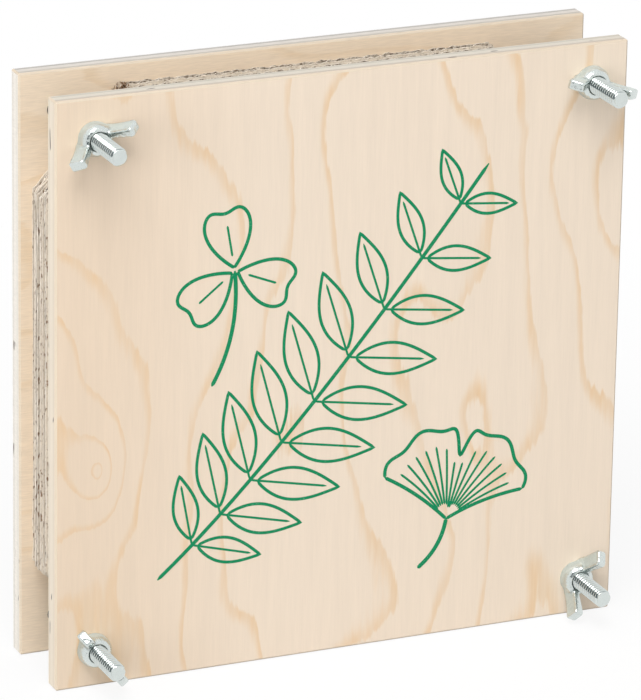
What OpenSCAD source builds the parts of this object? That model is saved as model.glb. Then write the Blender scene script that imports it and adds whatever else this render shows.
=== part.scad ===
// Leaf press. Two plywood boards clamp a stack of corrugated sheets and blotting papers between
// four carriage bolts with wing nuts. The press stands on the lower edges of its boards.
// +Z is up, the front faces -Y, and the origin is the middle of the rear board's lower edge.

/* [Boards] */
// Width of each pressing board
board_w = 260; // [200:1:340]
// Height of each pressing board
board_h = 260; // [200:1:340]
// Thickness of each plywood board
board_t = 9; // [6:0.5:15]
// Bevel that eases every edge of a board
edge_ease = 0.8; // [0.2:0.1:1.5]

/* [Bolts] */
// Thread diameter of a bolt
bolt_d = 7.8; // [6:0.1:8.5]
// Length of a bolt below its head
bolt_l = 80; // [72:1:110]
// Distance of a bolt's axis from the two nearest edges of a board
bolt_inset = 17; // [17:0.5:24]
// Bevel at the free end of a bolt
bolt_point = 0.8; // [0.3:0.1:1.5]
// Diameter of a bolt's mushroom head
head_d = 20; // [16:0.5:22]
// Height of a bolt's mushroom head
head_h = 4.6; // [3:0.1:5.5]
// How much wider the square neck under the head is than the thread
neck_over = 0.4; // [0.2:0.1:1]
// Length of the square neck
neck_l = 5; // [3:0.1:5.5]
// Room on each side of a bolt in a board's hole
hole_clearance = 0.5; // [0.3:0.1:1]

/* [Wing nuts] */
// Height of a nut's hub
nut_h = 6.6; // [5:0.1:10]
// Wall of the hub at its base
nut_base_wall = 3.3; // [2.5:0.1:6]
// Wall of the hub at its top
nut_top_wall = 0.9; // [0.8:0.1:2]
// Straight skirt below the hub's dome
nut_skirt = 0.5; // [0.3:0.1:2]
// Countersink at the upper mouth of the thread
nut_relief = 0.6; // [0.2:0.1:0.7]
// Room between a nut and its bolt, on each side
nut_clearance = 0.05; // [0.02:0.01:0.1]
// Distance from wing tip to wing tip
wing_span = 33; // [29:0.5:34]
// Width of a wing across its slope
wing_band = 7.5; // [6:0.5:10]
// Angle at which the wings rise from the board
wing_slope = 49; // [35:1:55]
// Thickness of a wing at its tip
wing_t = 4.4; // [2.5:0.1:5]
// Thickness of a wing at the hub
wing_root_t = 2.8; // [2:0.1:4]
// Rounding of a wing's two tip corners
wing_round = 1.8; // [0.8:0.1:2.8]
// Turn of the top left nut, from level
turn_top_left = 29; // [-90:1:90]
// Turn of the top right nut, from level
turn_top_right = -14; // [-90:1:90]
// Turn of the bottom left nut, from level
turn_bottom_left = -52; // [-90:1:90]
// Turn of the bottom right nut, from level
turn_bottom_right = 65; // [-90:1:90]

/* [Stack] */
// Number of corrugated sheets, with a blotting paper between each pair
sheet_count = 7; // [5:1:9]
// Thickness of a corrugated sheet
sheet_t = 4.4; // [3:0.1:6]
// Distance from one flute's crest to the next
flute_pitch = 8.5; // [6:0.5:12]
// Thickness of the two flat liners of a corrugated sheet
liner_t = 0.4; // [0.3:0.05:0.8]
// Thickness of the fluted paper, measured square to the sheet
medium_t = 0.45; // [0.3:0.05:0.8]
// How deep a flute's crest is glued into its liner
glue_depth = 0.1; // [0.05:0.05:0.2]
// Thickness of a blotting paper
blotter_t = 0.45; // [0.3:0.05:1]
// How far the sheets stay inside the boards at the sides
side_margin = 5; // [3:0.1:12]
// How far the sheets stay inside the boards at the top and bottom
end_margin = 5; // [5:0.1:12]
// How much smaller a blotting paper is all round than a corrugated sheet
blotter_inset = 1.2; // [0:0.1:4]
// Room between a lower bolt and the cut corner of a sheet
corner_gap = 6.3; // [3:0.1:16]
// How far the layers of the stack lie out of line
stack_stagger = 0.8; // [0:0.1:1.5]
// How far the stack has slid down from the middle of the boards
stack_drop = 3.3; // [0:0.1:3.5]

/* [Hidden] */
$fn = 64;
// Steps along one cell of a flute
cell_steps = 8;
// Steps along a rounded corner or a dome
arc_steps = 6;
// Overlap that lets a cut pass right through
through = 1;
// Turn between the offsets of one layer and the next
stagger_turn = 137.5;

bolt_r = bolt_d / 2;
hole_r = bolt_r + hole_clearance;
neck_side = bolt_d + neck_over;
bore_r = bolt_r + nut_clearance;
nut_base_r = bore_r + nut_base_wall;
nut_top_r = bore_r + nut_top_wall;
bolt_x = board_w / 2 - bolt_inset;
bolt_z = board_h / 2 - bolt_inset;

blotter_count = sheet_count - 1;
layer_step = sheet_t + blotter_t;
stack_t = sheet_count * sheet_t + blotter_count * blotter_t;
// The planes of the assembly, from the back to the front
rear_back_y = board_t / 2;
rear_face_y = -board_t / 2;
front_back_y = rear_face_y - stack_t;
front_face_y = front_back_y - board_t;

sheet_w = board_w - 2 * side_margin;
sheet_h = board_h - 2 * end_margin;
stack_middle_z = board_h / 2 - stack_drop;
// The cut runs at 45 degrees, so its place is a sum of X and Z from the middle of the stack
corner_sum = bolt_x + bolt_z - stack_drop - sqrt(2) * (bolt_r + corner_gap);
corner_cut = (sheet_w + sheet_h) / 2 - corner_sum;

// The wave of the fluted paper, and the angle at which it leaves its liner
inner_half = sheet_t / 2 - liner_t;
wave_height = inner_half - medium_t / 2 + glue_depth;
leave_angle = acos((inner_half - medium_t / 2) / wave_height);
flute_count = ceil(sheet_w / flute_pitch) + 1;

// The four bolts: name of the corner, side, height and turn of the nut
CORNERS = [
    ["top_left", -1, 1, turn_top_left],
    ["top_right", 1, 1, turn_top_right],
    ["bottom_left", -1, -1, turn_bottom_left],
    ["bottom_right", 1, -1, turn_bottom_right],
];
BOLTS = [for (c = CORNERS) str("bolt_", c[0])];
NUTS = [for (c = CORNERS) str("wing_nut_", c[0])];
SHEETS = [for (i = [1:sheet_count]) str("corrugated_sheet_", i)];
BLOTTERS = [for (i = [1:blotter_count]) str("blotter_", i)];

// Points along an arc about a centre, from one angle to another
function arc(centre, r, from, to) =
    [for (k = [0:arc_steps]) let (a = from + (to - from) * k / arc_steps) centre + r * [cos(a), sin(a)]];

// Offset of one layer of the stack, as hands leave it
function stagger(layer) = stack_stagger * [cos(layer * stagger_turn), sin(layer * stagger_turn)];

// Stands what is drawn along +Z on the axis of one bolt, pointing to the front
module on_bolt(c, y) {
    translate([c[1] * bolt_x, y, board_h / 2 + c[2] * bolt_z])
        rotate([90, 0, 0])
            children();
}

// Rectangle with its corners cut at 45 degrees
module cut_rectangle(w, h, cut) {
    x = w / 2;
    y = h / 2;
    polygon([
        [x - cut, -y], [x, -y + cut], [x, y - cut], [x - cut, y],
        [-x + cut, y], [-x, y - cut], [-x, -y + cut], [-x + cut, -y],
    ]);
}

// Board centred on the origin, upright, with all its edges eased
module eased_board() {
    intersection() {
        rotate([90, 0, 0])
            linear_extrude(board_t, center = true)
                cut_rectangle(board_w, board_h, edge_ease);
        linear_extrude(board_h, center = true)
            cut_rectangle(board_w, board_t, edge_ease);
        rotate([90, 0, 90])
            linear_extrude(board_w, center = true)
                cut_rectangle(board_t, board_h, edge_ease);
    }
}

// Board with its back at a given plane, drilled for the four bolts
module drilled_board(back_y) {
    difference() {
        translate([0, back_y - board_t / 2, board_h / 2])
            eased_board();
        for (c = CORNERS)
            on_bolt(c, back_y)
                translate([0, 0, -through])
                    cylinder(r = hole_r, h = board_t + 2 * through);
    }
}

module rear_board() {
    color("#E3CDAE")
        difference() {
            drilled_board(rear_back_y);
            // Sockets that the square necks are drawn into
            for (c = CORNERS)
                on_bolt(c, rear_back_y)
                    translate([-neck_side / 2, -neck_side / 2, -through])
                        cube([neck_side, neck_side, neck_l + through]);
        }
}

module front_board() {
    color("#E9D7BE")
        drilled_board(front_back_y);
}

// Carriage bolt along +Z, with the underside of its head at zero
module bolt(c) {
    dome_r = (head_d * head_d / 4 + head_h * head_h) / (2 * head_h);
    color("#C7CFD3")
        on_bolt(c, rear_back_y) {
            cylinder(r = bolt_r, h = bolt_l - bolt_point);
            translate([0, 0, bolt_l - bolt_point])
                cylinder(r1 = bolt_r, r2 = bolt_r - bolt_point, h = bolt_point);
            translate([-neck_side / 2, -neck_side / 2, 0])
                cube([neck_side, neck_side, neck_l]);
            intersection() {
                translate([0, 0, dome_r - head_h])
                    sphere(r = dome_r);
                translate([0, 0, -head_h])
                    cylinder(d = head_d, h = head_h);
            }
        }
}

// Domed hub of a wing nut, with its bore and countersink
module nut_hub() {
    run = nut_base_r - nut_top_r;
    rise = nut_h - nut_skirt;
    // The dome is an arc that leaves the skirt upright and ends at the rim
    dome_r = (run * run + rise * rise) / (2 * run);
    dome = arc([nut_base_r - dome_r, nut_skirt], dome_r, 0, 2 * atan(run / rise));
    rotate_extrude()
        polygon(concat(
            [[bore_r, 0], [nut_base_r, 0]],
            dome,
            [[bore_r + nut_relief, nut_h], [bore_r, nut_h - nut_relief]]
        ));
}

// One wing: a flat band that rises from the hub and widens to a square-cut, rounded tip
module nut_wing() {
    along = [cos(wing_slope), sin(wing_slope)];
    across = [-sin(wing_slope), cos(wing_slope)];
    foot = [nut_base_r, 0];
    root_r = bore_r + (nut_relief + nut_top_wall) / 2;
    reach = (wing_span / 2 - wing_round - foot[0] - wing_round * across[0]) / along[0];
    low_corner = foot + wing_round * across + reach * along;
    high_corner = low_corner + (wing_band - 2 * wing_round) * across;
    intersection() {
        rotate([90, 0, 0])
            linear_extrude(wing_t, center = true)
                polygon(concat(
                    [[root_r, 0], foot],
                    arc(low_corner, wing_round, wing_slope - 90, wing_slope),
                    arc(high_corner, wing_round, wing_slope, wing_slope + 90),
                    [[root_r, nut_h]]
                ));
        // Seen along the bolt, the wing thickens from the hub to its tip
        translate([0, 0, -through])
            linear_extrude(wing_span)
                polygon([
                    [root_r, -wing_root_t / 2],
                    [wing_span / 2, -wing_t / 2],
                    [wing_span / 2, wing_t / 2],
                    [root_r, wing_root_t / 2]
                ]);
    }
}

module wing_nut(c) {
    color("#CDD5D8")
        on_bolt(c, front_face_y)
            rotate([0, 0, c[3]])
                union() {
                    nut_hub();
                    nut_wing();
                    rotate([0, 0, 180])
                        nut_wing();
                }
}

// One air cell between the fluted paper and a liner, from crest to crest
module flute_cell() {
    polygon([
        for (k = [0:cell_steps])
            let (a = leave_angle + (360 - 2 * leave_angle) * k / cell_steps)
                [flute_pitch * a / 360, wave_height * cos(a) + medium_t / 2]
    ]);
}

// Cross-section of a corrugated sheet: two liners with the fluted paper between them
module fluted_section(phase) {
    difference() {
        square([sheet_w, sheet_t], center = true);
        for (k = [0:flute_count])
            translate([(k + phase) * flute_pitch - sheet_w / 2 - flute_pitch, 0]) {
                flute_cell();
                translate([flute_pitch / 2, 0])
                    mirror([0, 1])
                        flute_cell();
            }
    }
}

// Upright plate with cut corners and its back at a given plane
module cut_plate(back_y, t, inset, layer) {
    shift = stagger(layer);
    translate([shift[0], back_y, stack_middle_z + shift[1]])
        rotate([90, 0, 0])
            linear_extrude(t)
                cut_rectangle(sheet_w - 2 * inset, sheet_h - 2 * inset, corner_cut);
}

// Corrugated sheet with upright flutes, counted from the back
module corrugated_sheet(i) {
    layer = 2 * i;
    back_y = rear_face_y - i * layer_step;
    shift = stagger(layer);
    phase = (layer * stagger_turn / 360) % 1;
    color("#C8B79E")
        intersection() {
            cut_plate(back_y, sheet_t, 0, layer);
            translate([shift[0], back_y - sheet_t / 2, stack_middle_z + shift[1]])
                linear_extrude(sheet_h, center = true)
                    fluted_section(phase);
        }
}

// Blotting paper in front of the corrugated sheet with the same number
module blotter(i) {
    color("#EDE8DC")
        cut_plate(rear_face_y - i * layer_step - sheet_t, blotter_t, blotter_inset, 2 * i + 1);
}

rear_board();
front_board();
for (i = [0:len(CORNERS) - 1]) {
    bolt(CORNERS[i]);
    wing_nut(CORNERS[i]);
}
for (i = [0:sheet_count - 1])
    corrugated_sheet(i);
for (i = [0:blotter_count - 1])
    blotter(i);
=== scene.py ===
# %% [markdown]
# # A leaf press in the studio
# A leaf press dries leaves flat: two square boards of birch plywood, four carriage bolts with wing nuts, and between
# the boards a stack of corrugated sheets and blotting papers that lets the damp out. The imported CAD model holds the
# sizes, and everything here is drawn around it, in metres and in the same frame: +Z is up and the front faces -Y.

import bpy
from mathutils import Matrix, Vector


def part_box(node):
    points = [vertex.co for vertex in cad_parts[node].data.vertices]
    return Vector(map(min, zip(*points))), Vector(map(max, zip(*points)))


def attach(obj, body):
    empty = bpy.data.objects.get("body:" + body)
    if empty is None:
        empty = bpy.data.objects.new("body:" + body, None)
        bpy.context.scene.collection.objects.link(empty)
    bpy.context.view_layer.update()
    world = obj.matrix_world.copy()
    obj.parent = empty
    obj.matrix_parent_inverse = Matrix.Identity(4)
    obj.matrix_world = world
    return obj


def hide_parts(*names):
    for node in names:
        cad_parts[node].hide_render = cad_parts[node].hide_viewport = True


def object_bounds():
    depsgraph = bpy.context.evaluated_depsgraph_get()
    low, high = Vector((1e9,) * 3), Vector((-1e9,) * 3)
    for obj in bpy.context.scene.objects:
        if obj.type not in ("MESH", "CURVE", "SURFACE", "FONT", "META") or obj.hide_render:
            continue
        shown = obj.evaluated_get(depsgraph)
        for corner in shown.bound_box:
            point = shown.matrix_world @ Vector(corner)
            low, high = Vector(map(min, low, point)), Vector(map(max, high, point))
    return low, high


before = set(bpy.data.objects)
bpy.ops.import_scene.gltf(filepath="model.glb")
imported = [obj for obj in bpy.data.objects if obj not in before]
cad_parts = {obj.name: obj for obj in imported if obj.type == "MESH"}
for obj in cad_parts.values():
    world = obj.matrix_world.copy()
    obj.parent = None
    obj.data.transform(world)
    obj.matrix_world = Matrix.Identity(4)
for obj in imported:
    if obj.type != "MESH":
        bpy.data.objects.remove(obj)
cad_box = [list(corner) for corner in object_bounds()]
print("CAD box:", cad_box)

# %% Tools and units
import math

import bpy
import numpy as np
from mathutils import Matrix, Vector

MM = 0.001
scene = bpy.context.scene
scene.view_settings.view_transform = "Standard"

CORNERS = ("top_left", "top_right", "bottom_left", "bottom_right")
SHEET_COUNT = sum(name.startswith("corrugated_sheet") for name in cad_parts)
front_low, front_high = (np.array(corner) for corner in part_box("front_board"))
rear_high = np.array(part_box("rear_board")[1])
board_middle = (front_low + front_high) / 2
print("boards of", (front_high - front_low) / MM, "mm,", SHEET_COUNT, "corrugated sheets")

# %% [markdown]
# The camera stands where the photographer's did. Its turn and distance come from the four corners of the front
# board: a square seen in perspective fixes both. A camera could also be aimed with a Track To constraint, but a matrix
# built from yaw, pitch and roll says exactly where each axis points.

# %% The camera
IMAGE_W, IMAGE_H = 641, 700
FOCAL_PIXELS = 5565.8
SENSOR = 36.0
CAMERA_YAW, CAMERA_PITCH, CAMERA_ROLL = (math.radians(a) for a in (23.77, 19.60, 0.95))
# Where the middle of the front face lies from the camera: right, forward and up
FACE_FROM_CAMERA = Vector((9.4, 2355.4, -6.2)) * MM

turn = Matrix.Rotation(CAMERA_ROLL, 3, "Y") @ Matrix.Rotation(CAMERA_PITCH, 3, "X")
turn = turn @ Matrix.Rotation(CAMERA_YAW, 3, "Z")
right, forward, up = turn
face_middle = Vector((board_middle[0], front_low[1], board_middle[2]))
camera = bpy.data.objects.new("camera", bpy.data.cameras.new("camera"))
scene.collection.objects.link(camera)
camera.data.sensor_width = SENSOR
camera.data.lens = FOCAL_PIXELS * SENSOR / max(IMAGE_W, IMAGE_H)
camera.matrix_world = Matrix.Translation(face_middle - turn.transposed() @ FACE_FROM_CAMERA) @ Matrix(
    (right, up, -forward)).transposed().to_4x4()
scene.camera = camera
print("camera at", tuple(round(v, 3) for v in camera.matrix_world.translation), "lens", round(camera.data.lens, 1))

# %% [markdown]
# Colours are picked as sRGB hex codes, as a paint program shows them, but a renderer adds light in linear values, so
# one function converts them. A second one adds a shader node: it sets the node's own properties, then fills each input
# with a constant or with a link. Every material below is made of calls to these two.

# %% Colours and shader nodes
def linear(code):
    """Linear RGBA of an sRGB hex code, by the sRGB curve: a straight foot, then a power of 2.4."""
    s = np.array([int(code[i:i + 2], 16) for i in (1, 3, 5)]) / 255
    rgb = np.where(s <= 0.04045, s / 12.92, ((s + 0.055) / 1.055) ** 2.4)
    return (*rgb.tolist(), 1.0)


def add(tree, kind, inputs=None, **settings):
    """Adds a shader node. Settings are its properties, and inputs fill its sockets with values or links."""
    made = tree.nodes.new("ShaderNode" + kind)
    for name, value in settings.items():
        setattr(made, name, value)
    for socket, value in (inputs or {}).items():
        if isinstance(value, bpy.types.NodeSocket):
            tree.links.new(value, made.inputs[socket])
        else:
            made.inputs[socket].default_value = value
    return made


def new_material(name):
    """Empty material with a Principled shader on its output."""
    material = bpy.data.materials.new(name)
    material.use_nodes = True
    tree = material.node_tree
    tree.nodes.clear()
    shader = add(tree, "BsdfPrincipled")
    add(tree, "OutputMaterial", {"Surface": shader.outputs[0]})
    return material, tree, shader


# The Mix node keeps a set of sockets for each kind of value: these are the numbers of the colour ones
MIX_A, MIX_B, MIX_OUT = 6, 7, 2

# %% [markdown]
# The studio is a pale floor with white all round. A white backdrop with lamps of its own would do, but their light
# would spill onto the press. So the floor and the world read Light Path: the camera and mirror-like metal see plain
# white there, while the rays that light the wood find a normal level. A part of the floor's white still comes from the
# lamps, and the press keeps a soft shadow under it.

# %% The floor
FLOOR_SIZE = 40.0
FLOOR_DROP = 0.2 * MM
# How much of the floor's white is glow near the press and far from it, and between which distances in metres it changes
GLOW_NEAR, GLOW_FAR = 0.86, 1.0
GLOW_FROM, GLOW_TO = 0.25, 0.55


def seen_rays(tree):
    """1 for camera, mirror and see-through rays, which show the white studio, and 0 for the rays that light things."""
    path = add(tree, "LightPath").outputs
    some = add(tree, "Math", {0: path["Is Camera Ray"], 1: path["Is Glossy Ray"]}, operation="MAXIMUM")
    return add(tree, "Math", {0: some.outputs[0], 1: path["Is Transmission Ray"]}, operation="MAXIMUM").outputs[0]


def studio_floor():
    """White floor: part lit by the lamps, part glowing white for seen rays, and all glowing away from the press."""
    material, tree, shader = new_material("white_sweep_paper")
    # It sends only six tenths of the light back up, or it would flatten the shading of the press
    paper = add(tree, "Mix", {0: seen_rays(tree), MIX_A: linear("#CCCCCC"), MIX_B: linear("#F4F4F4")}, data_type="RGBA")
    tree.links.new(paper.outputs[MIX_OUT], shader.inputs["Base Color"])
    shader.inputs["Roughness"].default_value = 0.9
    away = add(tree, "VectorMath", {0: add(tree, "TexCoord").outputs["Object"]}, operation="LENGTH").outputs["Value"]
    glowing = add(tree, "MapRange", {"Value": away, 1: GLOW_FROM, 2: GLOW_TO, 3: GLOW_NEAR, 4: GLOW_FAR})
    share = add(tree, "Math", {0: seen_rays(tree), 1: glowing.outputs[0]}, operation="MULTIPLY")
    glow = add(tree, "Emission", {"Color": linear("#FFFFFF"), "Strength": 1.0})
    mixed = add(tree, "MixShader", {0: share.outputs[0], 1: shader.outputs[0], 2: glow.outputs[0]})
    tree.links.new(mixed.outputs[0], tree.nodes["Material Output"].inputs["Surface"])
    half = FLOOR_SIZE / 2
    mesh = bpy.data.meshes.new("floor")
    corners = [(-half, -half), (half, -half), (half, half), (-half, half)]
    mesh.from_pydata([(x, y, cad_box[0][2] - FLOOR_DROP) for x, y in corners], [], [(0, 1, 2, 3)])
    mesh.materials.append(material)
    floor = bpy.data.objects.new("floor", mesh)
    scene.collection.objects.link(floor)


studio_floor()
print("floor", FLOOR_SIZE, "m wide")

# %% [markdown]
# Bright metal shows what stands round it, and in an all-white room it would be white all over. Behind a camera a studio
# is dark, so the world has a dark patch there, which only mirror-like rays find. A black card would do the same, but it
# would also take light from the wood.

# %% The world
AMBIENT = 0.48
DARK_SIDE = Vector((-0.44, -0.87, 0.22)).normalized()
# Cosines of the angles from the patch's middle at which it ends and at which it is darkest
DARK_EDGE, DARK_CORE = (math.cos(math.radians(a)) for a in (30, 12))


def studio_world():
    """World that lights evenly, and that seen rays find white but for the dark side in mirror-like metal."""
    world = bpy.data.worlds.new("studio")
    world.use_nodes = True
    tree = world.node_tree
    tree.nodes.clear()
    toward = add(tree, "TexCoord").outputs["Generated"]
    near = add(tree, "VectorMath", {0: toward, 1: DARK_SIDE}, operation="DOT_PRODUCT").outputs["Value"]
    dark = add(tree, "MapRange", {"Value": near, 1: DARK_EDGE, 2: DARK_CORE}, interpolation_type="SMOOTHSTEP")
    white = add(tree, "Mix", {0: dark.outputs[0], MIX_A: linear("#FFFFFF"), MIX_B: linear("#697174")},
                data_type="RGBA")
    glossy = add(tree, "LightPath").outputs["Is Glossy Ray"]
    shown = add(tree, "Mix", {0: glossy, MIX_A: linear("#FFFFFF"), MIX_B: white.outputs[MIX_OUT]}, data_type="RGBA")
    seen = add(tree, "Background", {"Color": shown.outputs[MIX_OUT], "Strength": 1.0})
    lit = add(tree, "Background", {"Color": linear("#FCFDFF"), "Strength": AMBIENT})
    mixed = add(tree, "MixShader", {0: seen_rays(tree), 1: lit.outputs[0], 2: seen.outputs[0]})
    add(tree, "OutputWorld", {"Surface": mixed.outputs[0]})
    scene.world = world


studio_world()
print("world of strength", AMBIENT, "for the rays that light the press")

# %% [markdown]
# Three softboxes light the press: a weak one beside the camera, a strong one above, which draws the bright stripes on
# the metal, and one on the left for the edges. Wide lamps give soft shadows, where a Point or a Sun light would give
# hard ones. The two low ones would fill the metal with white, so mirror-like rays don't see them.

# %% Lamps
LAMPS = (
    # name, direction from the press, distance and side in metres, power in watts, seen in mirror-like metal
    ("key_softbox", (-0.46, -0.85, 0.26), 6.0, 2.3, 39.0, False),
    ("top_softbox", (-0.28, -0.50, 0.82), 4.5, 2.3, 123.0, True),
    ("left_softbox", (-0.90, -0.32, 0.16), 3.0, 2.0, 36.0, False),
)
for name, direction, distance, side, watts, mirrored in LAMPS:
    toward = Vector(direction).normalized()
    lamp = bpy.data.lights.new(name, "AREA")
    lamp.shape, lamp.size, lamp.energy = "SQUARE", side, watts
    holder = bpy.data.objects.new(name, lamp)
    scene.collection.objects.link(holder)
    holder.visible_glossy = mirrored
    holder.location = Vector(board_middle) + toward * distance
    holder.rotation_euler = toward.to_track_quat("Z", "Y").to_euler()
print("lamps:", [entry[0] for entry in LAMPS])

# %% [markdown]
# Every new piece below is a surface worked out with numpy: an array of points on a grid, then quads between
# neighbours. Modelling by hand or with modifiers would work too, but a formula keeps each piece tied to the CAD sizes.
# The quads of a grid follow from its row and column numbers alone. A closed skin also has to face outwards, and the
# sign of the volume that it encloses tells whether it does.

# %% Meshes from arrays
def grid_quads(rows, columns, around=False):
    """Quads of points numbered row by row. Around joins each row's last point to its first."""
    r, c = np.meshgrid(np.arange(rows - 1), np.arange(columns if around else columns - 1), indexing="ij")
    beside = (c + 1) % columns
    quads = [r * columns + c, r * columns + beside, (r + 1) * columns + beside, (r + 1) * columns + c]
    return np.stack(quads, axis=-1).reshape(-1, 4)


def tube_quads(tubes, stations):
    """Quads of four-sided tubes, one tube after the other: each has a ring of points at every station, and two ends."""
    last = 4 * (stations - 1)
    one = np.concatenate([grid_quads(stations, 4, around=True), [[3, 2, 1, 0]], [[last, last + 1, last + 2, last + 3]]])
    return (one[None] + 4 * stations * np.arange(tubes)[:, None, None]).reshape(-1, 4)


def enclosed(points, quads):
    """Six times the volume inside a skin of quads: the sum of the corner products of its triangles."""
    a, b, c, d = (points[quads[:, i]] for i in range(4))
    return np.sum(a * np.cross(b, c)) + np.sum(a * np.cross(c, d))


def new_piece(name, points, quads, material, body, slot=None, sharp=40, **marks):
    """Mesh object of points and quads that rides on a body. Marks are attributes for its material, one value each."""
    if enclosed(points, quads) < 0:
        quads = quads[:, ::-1]
    mesh = bpy.data.meshes.new(name)
    mesh.vertices.add(len(points))
    mesh.vertices.foreach_set("co", np.asarray(points, np.float32).ravel())
    mesh.loops.add(quads.size)
    mesh.loops.foreach_set("vertex_index", np.asarray(quads, np.int32).ravel())
    mesh.polygons.add(len(quads))
    mesh.polygons.foreach_set("loop_start", np.arange(0, quads.size, 4, dtype=np.int32))
    mesh.update(calc_edges=True)
    mesh.shade_smooth()
    mesh.set_sharp_from_angle(angle=math.radians(sharp))
    mesh.materials.append(material)
    for mark, values in marks.items():
        layer = mesh.attributes.new(mark, "FLOAT", "POINT" if len(values) == len(points) else "FACE")
        layer.data.foreach_set("value", np.asarray(values, np.float32))
    piece = bpy.data.objects.new(name, mesh)
    scene.collection.objects.link(piece)
    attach(piece, body)
    return piece


def joined(parts):
    """One part from several of (points, quads, ...): quads are renumbered, and what follows them is strung together."""
    starts = np.cumsum([0] + [len(part[0]) for part in parts[:-1]])
    points = np.concatenate([part[0] for part in parts])
    quads = np.concatenate([part[1] + start for part, start in zip(parts, starts)])
    return points, quads, *(np.concatenate(rest) for rest in zip(*(part[2:] for part in parts)))


# %% [markdown]
# Bright zinc is a thin plating on steel, with a cool tint. Its deposit is finely crystalline: some crystals mirror the
# room and others scatter it, so a sharp reflection and a hazy one lie over each other. A metal's colour is its
# reflection, so Metallic is 1 and the crystals go into roughness. Tumbling polishes the edges, while flats stay matt.
# The metal is painted dark in thread roots, creases and bores, for oil, dirt and painted shade, and between the boards
# as painted shade alone: the attributes called matt and recess say where that is.

# %% Zinc plating
DIRT_AND_SHADE_SHARE, MATT_ROUGHNESS = 0.75, 0.6


def zinc_plating(name, rough_low, rough_high, dents):
    """Bright zinc: cool reflections, part sharp and part hazy, matt flats, a cloudy tone, dirt and painted shade."""
    material, tree, shader = new_material(name)
    place = add(tree, "TexCoord").outputs["Object"]
    clouds = add(tree, "TexNoise", {"Vector": place, "Scale": 1 / (4 * MM), "Detail": 3.0}).outputs[0]
    # Crystals of zinc are finer than a pixel, so they are drawn at a third of a millimetre
    crystals = add(tree, "TexNoise", {"Vector": place, "Scale": 1 / (0.35 * MM), "Detail": 1.0}).outputs[0]
    tone = add(tree, "Mix", {0: clouds, MIX_A: linear("#DCE3E0"), MIX_B: linear("#CED5D3")}, data_type="RGBA")
    # Dirt and painted shade: where the recess mark is high, the tone turns a dark grey
    deep = add(tree, "Attribute", attribute_name="recess").outputs["Fac"]
    dirt_and_shade = add(tree, "Math", {0: deep, 1: DIRT_AND_SHADE_SHARE}, operation="MULTIPLY").outputs[0]
    tone = add(tree, "Mix", {0: dirt_and_shade, MIX_A: tone.outputs[MIX_OUT], MIX_B: linear("#4F5F61")}, data_type="RGBA")
    rough = add(tree, "MapRange", {"Value": crystals, 1: 0.42, 2: 0.58, 3: rough_low, 4: rough_high}).outputs[0]
    matt = add(tree, "Attribute", attribute_name="matt").outputs["Fac"]
    rough = add(tree, "Math", {0: matt, 1: MATT_ROUGHNESS, 2: rough}, operation="MULTIPLY_ADD")
    # Forging and tumbling leave shallow dents, about two millimetres wide
    hollows = add(tree, "TexNoise", {"Vector": place, "Scale": 1 / (2 * MM), "Detail": 2.0}).outputs[0]
    bump = add(tree, "Bump", {"Height": hollows, "Strength": 1.0, "Distance": dents})
    shader.inputs["Metallic"].default_value = 1.0
    tree.links.new(tone.outputs[MIX_OUT], shader.inputs["Base Color"])
    tree.links.new(rough.outputs[0], shader.inputs["Roughness"])
    tree.links.new(bump.outputs[0], shader.inputs["Normal"])
    return material


bolt_zinc = zinc_plating("zinc_plated_bolt_steel", 0.05, 0.22, 0.02 * MM)
nut_zinc = zinc_plating("zinc_plated_nut_steel", 0.06, 0.30, 0.30 * MM)
print("materials:", bolt_zinc.name, nut_zinc.name)

# %% [markdown]
# A carriage bolt is a mushroom head, a square neck that bites into the wood, and a thread. A Screw modifier can make a
# thread, but here the whole bolt is one grid: stations along the axis and turns round it. The radius is a function of
# both. A thread has straight flanks at 60 degrees to each other, so along the axis the radius is a zigzag with its
# points cut off, and it follows the phase of a helix, which is what makes the ridge climb.

# %% Carriage bolts
# The real pitch of 1.25 mm is finer than two pixels, so the thread is drawn coarser
THREAD_PITCH = 1.9 * MM
THREAD_DEPTH = 1.0 * MM
BOLT_R = 3.9 * MM
BOLT_POINT = 0.8 * MM
NECK_HALF, NECK_L, NECK_TAPER = 4.1 * MM, 5.0 * MM, 0.25 * MM
# The higher this power, the sharper the corners of the neck
NECK_POWER = 14
HEAD_EDGE, EASED = 0.35 * MM, 0.3 * MM
END_DISH, END_DISH_SHARE = 0.12 * MM, 0.6
# Recess of the thread between the boards, painted dark: painted shade of the narrow gap
GAP_SHADE = 1.3
TURN_STEPS, PITCH_STEPS = 48, 12
# Shares of the way from the middle of the root to the middle of the crest
ROOT_TO, CREST_FROM = 0.22, 0.86


def thread_radius(z, turns):
    """Radius on the thread: a flat crest, two straight flanks and a flat root along the helix phase, which is height
    over pitch less turn."""
    from_root = np.abs(2 * ((z / THREAD_PITCH - turns) % 1) - 1)
    return BOLT_R - THREAD_DEPTH * np.clip((CREST_FROM - from_root) / (CREST_FROM - ROOT_TO), 0, 1)


def square_radius(turns, half):
    """Radius of a square with soft corners: half its side over a high norm of the direction."""
    angle = 2 * np.pi * turns
    return half / (np.abs(np.cos(angle)) ** NECK_POWER + np.abs(np.sin(angle)) ** NECK_POWER) ** (1 / NECK_POWER)


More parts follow.
